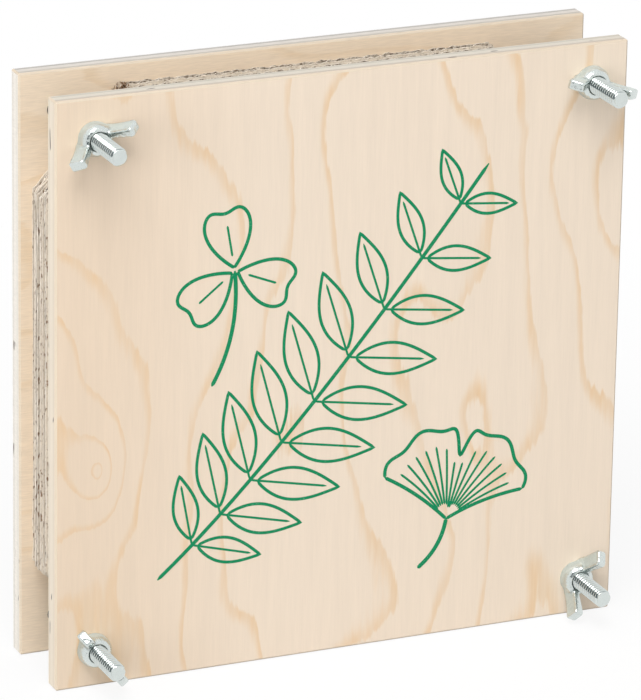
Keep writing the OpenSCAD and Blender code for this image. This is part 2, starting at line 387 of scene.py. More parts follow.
def bolt_skin(length, head_r, head_h):
    """Points (radius, turn, height) of a bolt along +z with the underside of its head at zero."""
    turns = np.arange(TURN_STEPS)[None, :] / TURN_STEPS
    thread_z = np.arange(length, NECK_L, -THREAD_PITCH / PITCH_STEPS)[:, None]
    thread_r = np.minimum(thread_radius(thread_z, turns), BOLT_R - BOLT_POINT + (length - thread_z))
    # The end face is turned flat, with a faint dish in the middle
    end_share = np.array([0.02, 0.3, 0.55, 0.62, 0.9])[:, None]
    end_z = length - END_DISH * (1 - np.clip(end_share / END_DISH_SHARE, 0, 1) ** 2)
    neck_z = np.array([NECK_L, NECK_L - EASED, EASED, 0])[:, None]
    neck_half = NECK_HALF - np.array([NECK_TAPER, 0, 0, 0])[:, None]
    # The head's crown is an arc through its rim and its top
    dome_r = (head_r ** 2 + head_h ** 2) / (2 * head_h)
    lift = np.linspace(0, 0.98, 14)[:, None] * (head_h - HEAD_EDGE)
    crown = np.sqrt(dome_r ** 2 - (dome_r - head_h + HEAD_EDGE + lift) ** 2) * head_r / np.sqrt(
        dome_r ** 2 - (dome_r - head_h + HEAD_EDGE) ** 2)
    under = np.array([head_r - EASED, head_r])[:, None]
    radius = [end_share * (BOLT_R - BOLT_POINT), thread_r, square_radius(turns, neck_half), under, crown]
    height = [end_z, thread_z, neck_z, np.array([0, -HEAD_EDGE / 2])[:, None], -HEAD_EDGE - lift]
    radius = np.concatenate([np.broadcast_to(part, (len(part), TURN_STEPS)) for part in radius])
    height = np.concatenate([np.broadcast_to(part, (len(part), TURN_STEPS)) for part in height])
    return radius, np.broadcast_to(turns, radius.shape), height


def ring_cap(first, count):
    """Quads that close a ring of points: strips between its two halves."""
    near = np.arange(count // 2 - 1)
    far = count - 1 - near
    return np.stack([first + near, first + near + 1, first + far - 1, first + far], axis=-1)


for corner in CORNERS:
    low, high = (np.array(v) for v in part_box("bolt_" + corner))
    axis_x, axis_z = (low[0] + high[0]) / 2, (low[2] + high[2]) / 2
    length = rear_high[1] - low[1]
    radius, turns, height = bolt_skin(length, (high[0] - low[0]) / 2, high[1] - rear_high[1])
    angle = 2 * np.pi * turns
    # The bolt points to -Y, and turns are counted from +X towards +Z, which is right-handed about -Y
    points = np.stack([axis_x + radius * np.cos(angle), rear_high[1] - height, axis_z + radius * np.sin(angle)], -1)
    quads = np.concatenate([grid_quads(*radius.shape, around=True), ring_cap(0, TURN_STEPS)[:, ::-1],
                            ring_cap(radius.size - TURN_STEPS, TURN_STEPS)])
    # The root of the thread is darkened for oil and painted shade, and between the boards the whole thread is painted
    # dark as painted shade of the gap
    on_thread = (height > NECK_L) & (height < length - BOLT_POINT)
    recess = np.where(on_thread, (BOLT_R - radius) / THREAD_DEPTH, 0) ** 2
    recess = np.where(on_thread & (height < rear_high[1] - front_high[1]), GAP_SHADE, recess)
    bolt = new_piece("threaded_bolt_" + corner, points.reshape(-1, 3), quads, bolt_zinc, "rear_frame", "bolt_steel",
                     recess=recess.ravel())
    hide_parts("bolt_" + corner)
print("each bolt has", len(quads), "quads")

# %% [markdown]
# A wing nut is forged: its domed hub flows into the wings, so no face ends in a hard line. A grid can't be wrapped
# round such a form without tearing, so it is made another way, as the zero level of a field: a number for each point
# in space that is negative inside. Fields of hub and wings melt together with a smooth minimum, which is the fillet.

# %% The field of a wing nut
HUB_BASE_R, HUB_RIM_R, HUB_H, HUB_SKIRT, HUB_EDGE = 7.25 * MM, 4.85 * MM, 6.6 * MM, 2.2 * MM, 1.0 * MM
BORE_R, BORE_RELIEF = 3.95 * MM, 0.6 * MM
WING_BAND, WING_T, WING_ROUND, WING_EDGE = 7.5 * MM, 4.4 * MM, 1.8 * MM, 1.0 * MM
WING_ROOT_T, WING_ROOT_BAND, WING_FLARE, WING_SWELL = 2.8 * MM, 6.0 * MM, 1.4 * MM, 0.7 * MM
# The wings start inside the hub
WING_START = -4 * MM
WING_SLOPE = math.radians(49)
WING_FILLET = 2.2 * MM


def rounded_box(across, along, half_across, half_along, corner):
    """Distance to a rectangle with round corners: the distance to a smaller one, less the corner's radius."""
    a = np.abs(across) - half_across + corner
    b = np.abs(along) - half_along + corner
    return np.hypot(np.maximum(a, 0), np.maximum(b, 0)) + np.minimum(np.maximum(a, b), 0) - corner


def rounded_max(a, b, corner):
    """The greater of two distances, which is where two bodies overlap, with a round edge where they meet."""
    a, b = a + corner, b + corner
    return np.hypot(np.maximum(a, 0), np.maximum(b, 0)) + np.minimum(np.maximum(a, b), 0) - corner


def hub_field(r, h):
    """Distance to the hub: an arc that leaves the skirt upright and ends at the rim, cut off level at the top."""
    run, rise = HUB_BASE_R - HUB_RIM_R, HUB_H - HUB_SKIRT
    dome_r = (run ** 2 + rise ** 2) / (2 * run)
    dome = np.hypot(r + dome_r - HUB_BASE_R, np.maximum(h - HUB_SKIRT, 0)) - dome_r
    return rounded_max(dome, h - HUB_H, HUB_EDGE)


def wing_outline(u, h, span):
    """Distance to the wings' outline seen from the side, which widens to its tip, and the share of the way to the tip
    and from the rear edge to the front one."""
    out = np.abs(u) - HUB_BASE_R
    along = out * math.cos(WING_SLOPE) + h * math.sin(WING_SLOPE)
    across = h * math.cos(WING_SLOPE) - out * math.sin(WING_SLOPE)
    reach = (span / 2 - HUB_BASE_R - WING_ROUND + WING_ROUND * math.sin(WING_SLOPE)) / math.cos(WING_SLOPE) + WING_ROUND
    share = np.clip(along / reach, 0, 1)
    # The rear edge sweeps out to the hub's foot, and the front edge closes in on the hub's rim
    rear = -WING_FLARE * (1 - share) ** 2
    band = WING_ROOT_BAND + (WING_BAND - WING_ROOT_BAND) * share - rear
    outline = rounded_box((across - rear - band / 2) * WING_BAND / band, along - (reach + WING_START) / 2,
                          WING_BAND / 2, (reach - WING_START) / 2, WING_ROUND)
    return outline, share, np.clip((across - rear) / band, 0, 1)


def wing_field(u, w, h, span):
    """Distance to the two wings: the outline, as thick as the wing is there, with rounded edges."""
    outline, out_share, front_share = wing_outline(u, h, span)
    # Towards the board the root swells, until the wing leaves the hub without a step
    swell = WING_SWELL * np.clip(1 - 2 * out_share, 0, 1) ** 2 * (1 - front_share)
    thick = WING_ROOT_T + (WING_T - WING_ROOT_T) * out_share + swell
    return rounded_max(outline, np.abs(w) - thick / 2, WING_EDGE)


def nut_field(u, w, h, span):
    """Field of the nut: u along the wings, w across them and h up from the board."""
    r = np.hypot(u, w)
    wing, hub = wing_field(u, w, h, span), hub_field(r, h)
    blend = np.clip(0.5 + (wing - hub) / (2 * WING_FILLET), 0, 1)
    body = wing + (hub - wing) * blend - WING_FILLET * blend * (1 - blend)
    bore = BORE_R + np.clip(h - HUB_H + BORE_RELIEF, 0, BORE_RELIEF) - r
    return np.maximum(np.maximum(body, -h), bore)


# %% [markdown]
# Two marks tell the zinc where it is painted dark and where it is matt. Painting them by hand would work, but the
# fields
# know it already: dirt and painted shade lie where hub and wing are equally near and in the bore, and flats lie well
# inside a wing's outline.

# %% Dirt and matt flats on a wing nut
CREASE_W, BORE_DARK_W, DARKEST = 1.0 * MM, 0.6 * MM, 0.5
POLISHED_W, POLISHED_SHARE = 1.2 * MM, 0.3


def nut_recess(u, w, h, span):
    """Half in the upper crease where hub and wings are equally near, and inside the bore; 0 a millimetre away."""
    r = np.hypot(u, w)
    # Painted shade, with dirt, in the upper crease and in the bore
    crease = 1 - np.abs(wing_field(u, w, h, span) - hub_field(r, h)) / CREASE_W
    crease = crease * np.clip((h - 0.6 * HUB_H) / (0.3 * HUB_H), 0, 1)
    bore = (BORE_R + BORE_RELIEF - r) / BORE_DARK_W
    return DARKEST * np.clip(np.maximum(crease, bore), 0, 1)


def nut_matt(u, w, h, span):
    """1 on the flats of the wings and low on the hub, falling to 0 at the outline of a wing and at the hub's rim."""
    flat = np.clip(-wing_outline(u, h, span)[0] / POLISHED_W - POLISHED_SHARE, 0, 1)
    low = np.clip((0.75 * HUB_H - h) / (0.35 * HUB_H), 0, 1)
    return np.where(wing_field(u, w, h, span) < hub_field(np.hypot(u, w), h), flat, np.maximum(low, flat * low))


# %% [markdown]
# To turn the field into a mesh, space is cut into small cubes. A cube whose corners lie on both sides gets one point,
# at the mean of the places where the field changes sign along its edges, and each such edge gets a quad between the
# four cubes round it. That is the surface nets method. The points are then moved onto the zero level along the slope.

# %% A skin from a field
def level_skin(field, low, high, step):
    """Points and quads of the zero level of a field between two corners, by surface nets."""
    axes = [np.arange(a, b + step, step) for a, b in zip(low, high)]
    lattice = np.stack(np.meshgrid(*axes, indexing="ij"))
    value = field(*lattice)
    cells = np.array(value.shape) - 1
    total, count = np.zeros((3, *cells)), np.zeros(cells)
    crossed = []
    for axis in range(3):
        near, far = (np.take(value, np.arange(value.shape[axis])[s], axis) for s in (slice(-1), slice(1, None)))
        start = np.take(lattice, np.arange(value.shape[axis] - 1), axis + 1)
        crosses = (near < 0) != (far < 0)
        share = np.where(crosses, near / np.where(crosses, near - far, 1), 0)
        place = start.copy()
        place[axis] += share * step
        crossed.append((crosses, near < 0))
        first, second = [a for a in range(3) if a != axis]
        for i in (0, 1):
            for j in (0, 1):
                part = [slice(None)] * 3
                part[first], part[second] = slice(i, i + cells[first]), slice(j, j + cells[second])
                total += np.where(crosses[tuple(part)], place[(slice(None), *part)], 0)
                count += crosses[tuple(part)]
    used = count > 0
    number = np.full(cells, -1)
    number[used] = np.arange(used.sum())
    points = (total[:, used] / count[used]).T
    quads = []
    for axis, (crosses, inside) in enumerate(crossed):
        first, second = (axis + 1) % 3, (axis + 2) % 3
        at = np.argwhere(crosses)
        inner = (at[:, [first, second]] > 0).all(axis=1) & (at[:, [first, second]] < cells[[first, second]]).all(axis=1)
        at = at[inner]
        back = np.zeros((4, 3), int)
        back[:, first], back[:, second] = (1, 0, 0, 1), (1, 1, 0, 0)
        ring = np.stack([number[tuple((at - b).T)] for b in back], axis=-1)
        quads.append(np.where(inside[tuple(at.T)][:, None], ring, ring[:, ::-1]))
    return settled(field, points, step), np.concatenate(quads)


def settled(field, points, step):
    """Points moved to the zero level: three steps against the slope, each as long as the value over the slope."""
    small = step * 0.02
    for _ in range(3):
        slope = np.stack([field(*(points + d).T) - field(*(points - d).T) for d in np.eye(3) * small], -1) / (2 * small)
        steep = np.maximum(np.sum(slope ** 2, axis=1, keepdims=True), 0.05)
        points = points - np.clip(field(*points.T)[:, None] * slope / steep, -step / 2, step / 2)
    return points


# %% [markdown]
# The four nuts share one skin, worked out once. Each is then turned to the angle at which its CAD node stands, read
# from the node's outermost points.

# %% Wing nuts
NUT_STEP = 0.3 * MM
NUT_MARGIN = 1.2 * MM
nut_low, nut_high = (np.array(v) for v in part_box("wing_nut_top_left"))
nut_points = np.array([v.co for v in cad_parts["wing_nut_top_left"].data.vertices])
nut_axis = (nut_low + nut_high) / 2
nut_span = 2 * np.hypot(*(nut_points - nut_axis)[:, [0, 2]].T).max()
# The outermost points are corners of the tips, so the span along the middle is a little less
nut_span = math.sqrt(nut_span ** 2 - WING_T ** 2)
nut_height = nut_high[1] - nut_low[1]
reach = np.array([nut_span / 2, HUB_BASE_R, nut_height]) + NUT_MARGIN
skin, skin_quads = level_skin(lambda u, w, h: nut_field(u, w, h, nut_span), (-reach[0], -reach[1], -NUT_MARGIN), reach,
                              NUT_STEP)


def wing_angle(node):
    """Angle of a nut's wings from +X towards +Z, the mean direction of its outermost points on one side."""
    low, high = (np.array(v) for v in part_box(node))
    flat = (np.array([v.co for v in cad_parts[node].data.vertices]) - (low + high) / 2)[:, [0, 2]]
    far = flat[np.hypot(*flat.T) > 0.97 * np.hypot(*flat.T).max()]
    mean = (far * np.sign(far @ far[0])[:, None]).mean(axis=0)
    return math.atan2(mean[1], mean[0])


for corner in CORNERS:
    low, high = (np.array(v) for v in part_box("wing_nut_" + corner))
    axis = (low + high) / 2
    angle = wing_angle("wing_nut_" + corner)
    u, w, h = skin.T
    points = np.stack([axis[0] + u * math.cos(angle) - w * math.sin(angle), high[1] - h,
                       axis[2] + u * math.sin(angle) + w * math.cos(angle)], axis=-1)
    nut = new_piece("forged_nut_" + corner, points, skin_quads, nut_zinc, "wing_nut_" + corner, "nut_steel", sharp=60,
                    recess=nut_recess(u, w, h, nut_span), matt=nut_matt(u, w, h, nut_span))
    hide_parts("wing_nut_" + corner)
    print(corner, "nut turned", round(math.degrees(angle), 1), "degrees,", len(skin_quads), "quads")

# %% [markdown]
# Birch plywood is rotary cut: the veneer is peeled off the log like paper off a roll, so growth rings show as long
# flames and ovals with one crisp side. A Wave texture gives rings too, but all alike. Here they are the level lines of
# a height, as on a map: a knot is a hollow, a slope across the board spaces the lines, and noise drawn out along the
# grain bends them into flames. The edges show the plies, which run alternately along and across. Bare sanded wood is
# matt and warm, with fibres that just show.

# %% Plywood
# The knot's size, how fast its rings fade out and how many it has
KNOT_W, KNOT_L, KNOT_FADE, KNOT_RINGS = 9 * MM, 14 * MM, 1.5, 4.0
LINE_EVERY = 40 * MM
# Flames that bend the lines and steps from fibre to fibre: width, length along the grain and how many lines they shift
FLAME_W, FLAME_L, FLAME_LINES = 55 * MM, 130 * MM, 4.4
STEP_W, STEP_L, STEP_LINES = 2 * MM, 18 * MM, 0.17
# A line takes up this part of the way from one level to the next: soft up to its crest, crisp after it
LINE_FROM, LINE_CREST = 0.76, 0.965
FIBRE_W, FIBRE_DEEP = 0.5 * MM, 2 * MM
STREAK_W, STREAK_L = 5 * MM, 70 * MM
BROWNER_FROM, BROWNER_TO = -130 * MM, -20 * MM
# Depth of each glue line from the back face
PLY_EDGES = (1.4 * MM, 3.0 * MM, 6.0 * MM, 7.6 * MM)
GAP_L, GAP_W = 9 * MM, 2 * MM
# A face counts as flat from here on: the part of its normal along the nearest axis
FLAT_FROM, FLAT_TO = 0.75, 0.95


def birch_plywood(name, back_y, grain_up, ring_centre, face_tones, ply_tones, upright, fibre):
    """Sanded birch plywood: pale veneer with tan figure, a browner side and fibres, and plies on the edges."""
    pale, browner, figure = (linear(code) for code in face_tones)
    material, tree, shader = new_material(name)
    coordinates = add(tree, "TexCoord").outputs
    xyz = add(tree, "SeparateXYZ", {0: coordinates["Object"]}).outputs
    across, along = (xyz[0], xyz[2]) if grain_up else (xyz[2], xyz[0])
    sheet = add(tree, "CombineXYZ", {0: across, 1: along, 2: xyz[1]}).outputs[0]

    # Growth rings: close round a knot, where their number grows with d / (d + fade), then evenly spaced across
    away = add(tree, "VectorMath", {0: sheet, 1: (*ring_centre, 0)}, operation="SUBTRACT").outputs[0]
    away = add(tree, "VectorMath", {0: away, 1: (1 / KNOT_W, 1 / KNOT_L, 0)}, operation="MULTIPLY").outputs[0]
    distance = add(tree, "VectorMath", {0: away}, operation="LENGTH").outputs["Value"]
    more = add(tree, "Math", {0: distance, 1: KNOT_FADE}, operation="ADD").outputs[0]
    knot = add(tree, "Math", {0: distance, 1: more}, operation="DIVIDE").outputs[0]
    slope = add(tree, "Math", {0: across, 1: 1 / LINE_EVERY}, operation="MULTIPLY").outputs[0]
    rings = add(tree, "Math", {0: knot, 1: KNOT_RINGS, 2: slope}, operation="MULTIPLY_ADD").outputs[0]
    flame = add(tree, "VectorMath", {0: sheet, 1: (1 / FLAME_W, 1 / FLAME_L, 0)}, operation="MULTIPLY").outputs[0]
    flame = add(tree, "TexNoise", {"Vector": flame, "Scale": 1.0, "Detail": 2.5, "Roughness": 0.30}).outputs[0]
    level = add(tree, "Math", {0: flame, 1: FLAME_LINES, 2: rings}, operation="MULTIPLY_ADD").outputs[0]
    # A line that crosses the grain steps from fibre to fibre
    steps = add(tree, "VectorMath", {0: sheet, 1: (1 / STEP_W, 1 / STEP_L, 0)}, operation="MULTIPLY").outputs[0]
    steps = add(tree, "TexNoise", {"Vector": steps, "Scale": 1.0, "Detail": 2.0}).outputs[0]
    level = add(tree, "Math", {0: steps, 1: STEP_LINES, 2: level}, operation="MULTIPLY_ADD").outputs[0]
    ring = add(tree, "Math", {0: level}, operation="FRACT").outputs[0]
    soft_side = add(tree, "MapRange", {"Value": ring, 1: LINE_FROM, 2: LINE_CREST},
                    interpolation_type="SMOOTHERSTEP").outputs[0]
    crisp_side = add(tree, "MapRange", {"Value": ring, 1: LINE_CREST, 2: 1.0}).outputs[0]
    line = add(tree, "Math", {0: soft_side, 1: crisp_side}, operation="SUBTRACT").outputs[0]

    # Fibres and streaks: noise drawn out along the grain. Real fibres are finer than a pixel, and these just show
    strong, fibre_l = fibre
    fine = add(tree, "VectorMath", {0: sheet, 1: (1 / FIBRE_W, 1 / fibre_l, 1 / FIBRE_DEEP)}, operation="MULTIPLY")
    fine = add(tree, "TexNoise", {"Vector": fine.outputs[0], "Scale": 1.0, "Detail": 2.0}).outputs[0]
    broad = add(tree, "VectorMath", {0: sheet, 1: (1 / STREAK_W, 1 / STREAK_L, 0)}, operation="MULTIPLY")
    broad = add(tree, "TexNoise", {"Vector": broad.outputs[0], "Scale": 1.0, "Detail": 2.0}).outputs[0]
    strength = add(tree, "MapRange", {"Value": broad, 1: 0.25, 2: 0.75, 3: 0.2, 4: 1.0}).outputs[0]
    line = add(tree, "Math", {0: line, 1: strength}, operation="MULTIPLY").outputs[0]
    # The veneer is browner towards the low end across the grain, the left edge on the front board
    toward_browner = add(tree, "MapRange", {"Value": across, 1: BROWNER_FROM, 2: BROWNER_TO, 3: 1.0, 4: 0.0},
                     interpolation_type="SMOOTHSTEP").outputs[0]
    face = add(tree, "Mix", {0: toward_browner, MIX_A: pale, MIX_B: browner}, data_type="RGBA").outputs[MIX_OUT]
    face = add(tree, "Mix", {0: line, MIX_A: face, MIX_B: figure}, data_type="RGBA").outputs[MIX_OUT]

    # Edges: which ply a point lies in follows from its depth below the back face
    depth = add(tree, "Math", {0: back_y, 1: xyz[1]}, operation="SUBTRACT").outputs[0]
    normal = add(tree, "SeparateXYZ", {0: coordinates["Normal"]}).outputs
    level_edge = add(tree, "Math", {0: normal[2]}, operation="ABSOLUTE").outputs[0]
    shown = add(tree, "MapRange", {"Value": level_edge, 1: 0.4, 2: 0.8, 3: 0.4, 4: 1.0}).outputs[0]
    edge = linear(ply_tones[0])
    for line_depth, tone in zip(PLY_EDGES, ply_tones[1:]):
        inside = add(tree, "Math", {0: depth, 1: line_depth}, operation="GREATER_THAN").outputs[0]
        edge = add(tree, "Mix", {0: inside, MIX_A: edge, MIX_B: linear(tone)}, data_type="RGBA").outputs[MIX_OUT]
    # On the upright edges the crossing plies show their long grain, and the bands nearly vanish
    edge = add(tree, "Mix", {0: shown, MIX_A: linear(upright), MIX_B: edge}, data_type="RGBA").outputs[MIX_OUT]
    # Gaps in the inner plies, painted dark as the shade inside them: noise drawn out along the edge, dark where it
    # peaks
    gap = add(tree, "VectorMath", {0: coordinates["Object"], 1: (1 / GAP_L, 1 / GAP_W, 1 / GAP_L)},
              operation="MULTIPLY").outputs[0]
    gap = add(tree, "TexNoise", {"Vector": gap, "Scale": 1.0, "Detail": 0.0}).outputs[0]
    gap = add(tree, "MapRange", {"Value": gap, 1: 0.80, 2: 0.84}).outputs[0]
    edge = add(tree, "Mix", {0: gap, MIX_A: edge, MIX_B: linear("#6E6058")}, data_type="RGBA").outputs[MIX_OUT]
    # Eased corners: a little browner from sanding, and darker as painted shade; there no part of the normal is near 1
    facing = add(tree, "Math", {0: normal[1]}, operation="ABSOLUTE").outputs[0]
    aside = add(tree, "Math", {0: normal[0]}, operation="ABSOLUTE").outputs[0]
    most = add(tree, "Math", {0: level_edge, 1: aside}, operation="MAXIMUM").outputs[0]
    most = add(tree, "Math", {0: most, 1: facing}, operation="MAXIMUM").outputs[0]
    eased = add(tree, "MapRange", {"Value": most, 1: FLAT_FROM, 2: FLAT_TO, 3: 1.0, 4: 0.0}).outputs[0]
    edge = add(tree, "Mix", {0: eased, MIX_A: edge, MIX_B: linear("#D9C9B3")}, data_type="RGBA").outputs[MIX_OUT]
    on_face = add(tree, "MapRange", {"Value": facing, 1: FLAT_FROM, 2: FLAT_TO}).outputs[0]
    wood = add(tree, "Mix", {0: on_face, MIX_A: edge, MIX_B: face}, data_type="RGBA").outputs[MIX_OUT]

    # The fibres darken and lighten whatever lies under them by a few parts in a hundred
    tint = add(tree, "MapRange", {"Value": fine, 1: 0.25, 2: 0.75, 3: 1 - strong, 4: 1 + 0.6 * strong}).outputs[0]
    cloud = add(tree, "MapRange", {"Value": broad, 1: 0.3, 2: 0.7, 3: 0.98, 4: 1.015}).outputs[0]
    tint = add(tree, "Math", {0: tint, 1: cloud}, operation="MULTIPLY").outputs[0]
    wood = add(tree, "VectorMath", {0: wood, 1: tint}, operation="MULTIPLY").outputs[0]
    bump = add(tree, "Bump", {"Height": fine, "Strength": 0.12, "Distance": 0.05 * MM})
    shader.inputs["Roughness"].default_value = 0.62
    shader.inputs["IOR"].default_value = 1.45
    tree.links.new(wood, shader.inputs["Base Color"])
    tree.links.new(bump.outputs[0], shader.inputs["Normal"])
    return material


front_ply = birch_plywood("birch_plywood_front", front_high[1], True, (-111 * MM, 97 * MM),
                          ("#EBDAC6", "#E6D1B9", "#E3C39C"), ("#DFD7C9", "#CDC6B8", "#DFD7C9", "#CCC0B0", "#E0D0BF"),
                          "#F0E1CC", (0.025, 14 * MM))
rear_ply = birch_plywood("birch_plywood_rear", rear_high[1], False, (150 * MM, 40 * MM),
                         ("#EFDCC3", "#EFDCC3", "#E6CEAE"), ("#E9E6E2", "#BDB8B1", "#E0D9D0", "#C9C1B5", "#DCD2C4"),
                         "#FBF5EA", (0.08, 6 * MM))
for node, material in (("front_board", front_ply), ("rear_board", rear_ply)):
    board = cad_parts[node]
    board.data.materials.clear()
    board.data.materials.append(material)
    print(node, "has", material.name)

# %% [markdown]
# Corrugated board is three papers: two flat liners, and between them the medium, a paper pressed into waves. On the
# press its flutes stand upright, so that damp air rises through them. A Wave or Array modifier could make the waves,
# but each paper is a ply with a formula: its outline, its wave and its thickness. The sizes of the CAD model are kept,
# with its stagger and with what it leaves out: crushed and frayed edges, and liners that sink between the crests.

# %% The shape of a ply
FLUTE_PITCH, LINER_T, MEDIUM_T, GLUE_DEPTH = 8.5 * MM, 0.4 * MM, 0.45 * MM, 0.1 * MM
CORNER_CUT = 41.7 * MM
# Each sheet's flutes start at another place, this many degrees of a turn on, so that no two sheets lie in step
STAGGER_TURN = 137.5
STATIONS_PER_FLUTE, PLY_ROWS = 12, 15
# How deep a quad lies in shade: at a cut edge, just inside a side or a corner, on an outer face and inside a flute
AT_CUT, AT_SIDE, AT_FACE, IN_FLUTE = 0.0, 0.38, 0.5, 1.0


def waves(t, seed, count=5):
    """Smooth noise of one parameter: a sum of sines whose rates and phases come from a seed, mostly in -1 to 1."""
    rates = np.random.default_rng(seed).uniform(0.3, 1.0, (2, count))
    return np.mean(np.sin(np.multiply.outer(t, rates[0]) + 20 * rates[1]), axis=-1) * 1.6


def ply_skin(half_w, half_h, middle_y, thickness, middle, seed, fray, step, front_recess, back_recess):
    """Skin of a paper ply: a cut-cornered outline, a middle surface y(x, z) and a thickness on both sides of it."""
    reach = np.arange(-half_w, half_w + step / 2, step)
    flat = half_w - CORNER_CUT
    x = np.unique(np.concatenate([np.clip(reach, -half_w, half_w), [half_w, -flat, flat]]))
    share = np.sin(np.linspace(-np.pi / 2, np.pi / 2, PLY_ROWS))
    tall = np.minimum(half_h, half_h + flat - np.abs(x))
    z = share[None, :] * tall[:, None]
    x = np.broadcast_to(x[:, None], z.shape)
    # The frayed edge: the outline steps in and out along its length, and not at all inside
    z_edge = fray * waves(x / (0.6 * MM), seed) * np.abs(share[None, :]) ** 40 * np.sign(z)
    x_edge = fray * waves(z / (2.2 * MM), seed + 1) * (np.abs(x) / half_w) ** 300 * np.sign(x)
    front = np.stack([x + x_edge + middle[0], middle_y(x, z) - thickness / 2, z + z_edge + middle[2]], axis=-1)
    back = front + np.array([0, thickness, 0])
    loop = np.concatenate([front, back[:, ::-1]], axis=1)
    caps = [ring_cap(0, 2 * PLY_ROWS)[:, ::-1], ring_cap((len(loop) - 1) * 2 * PLY_ROWS, 2 * PLY_ROWS)]
    around = np.repeat([front_recess, AT_CUT, back_recess, AT_CUT], [PLY_ROWS - 1, 1, PLY_ROWS - 1, 1])
    recess = np.tile(around, (len(loop) - 1, 1))
    edge_rows = np.array([0, PLY_ROWS - 2, PLY_ROWS, 2 * PLY_ROWS - 2])
    at_corner = np.ix_(np.abs(x[:-1, 0] + x[1:, 0]) / 2 > flat, edge_rows)
    recess[at_corner] = np.minimum(recess[at_corner], AT_SIDE)
    recess[[0, -1]] = np.minimum(recess[[0, -1]], AT_SIDE)
    recess = np.concatenate([recess.ravel(), np.full(sum(len(cap) for cap in caps), AT_CUT)])
    return loop.reshape(-1, 3), np.concatenate([grid_quads(*loop.shape[:2], around=True), *caps]), recess


def edge_share(x, z, half_w, half_h, depth):
    """1 at the outline of a cut-cornered ply, falling to 0 at a depth inside it."""
    room = np.minimum(np.minimum(half_w - np.abs(x), half_h - np.abs(z)),
                      (half_w + half_h - CORNER_CUT - np.abs(x) - np.abs(z)) / math.sqrt(2))
    return np.clip(1 - room / depth, 0, 1) ** 2


# %% [markdown]
# Kraft paper is brown because its pulp is not bleached, and recycled pulp adds pale and dark flecks. The blotting paper
# is softer and paler. Both are matt, so Roughness is high. A cut edge shows torn pale fibres, and the inside of a flute
# gets little light, so the attribute called recess lightens the one and darkens the other.

# %% Papers
# Single fibres are thinner than a pixel, so they are drawn 0.6 mm apart
FIBRE_GRID = (0.6 * MM, 0.6 * MM, 2.5 * MM)
# Cutting tears fibres out of the edge, which leaves brown notches about two millimetres long
NOTCH_GRID = (1.2 * MM, 0.4 * MM, 2.6 * MM)
# At one corner the rear sheet is torn, and it is brown there up to these distances
TORN_AT = (-87 * MM, -7 * MM, 250 * MM)
TORN_FULL, TORN_END = 4 * MM, 8 * MM


